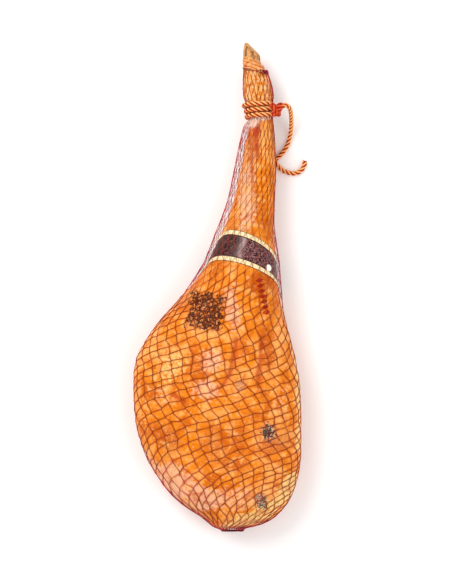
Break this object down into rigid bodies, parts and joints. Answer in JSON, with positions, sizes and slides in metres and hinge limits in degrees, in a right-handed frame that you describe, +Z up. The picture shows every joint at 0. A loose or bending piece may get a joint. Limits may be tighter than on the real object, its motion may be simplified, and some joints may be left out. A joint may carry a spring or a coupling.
{
  "type": "cured ham",
  "caption": "Whole bone-in cured ham with its hoof, lying on its flat side in a knitted net, with a band round the leg and a rope tied round the ankle.",
  "frame": {"origin": "middle of the box round leg and net, on the surface that they lie on, leaving out the rope", "axes": "+Z up, +Y along the leg towards the hoof, +X towards the shin side, where the rope's knot is"},
  "size_m": [0.2881, 0.8001, 0.1296],
  "materials": {
    "rind": "oily cured rind, amber to orange, with paler fat and a horn hoof",
    "net_yarn": "matt dyed yarn, knitted in open diamonds",
    "band_paper": "coated printed strip, dark with cream edges",
    "stud_plastic": "moulded white plastic",
    "rope_fibre": "twisted three-strand cord, cream with red-brown"
  },
  "bodies": {
    "root": {"ham_leg": "rind", "net_sleeve": "net_yarn", "net_tie": "net_yarn", "band_strip": "band_paper", "stud_cap": "stud_plastic", "stud_socket": "stud_plastic", "rope_turns": "rope_fibre", "rope_knot": "rope_fibre", "rope_tail": "rope_fibre"}
  },
  "joints": []
}
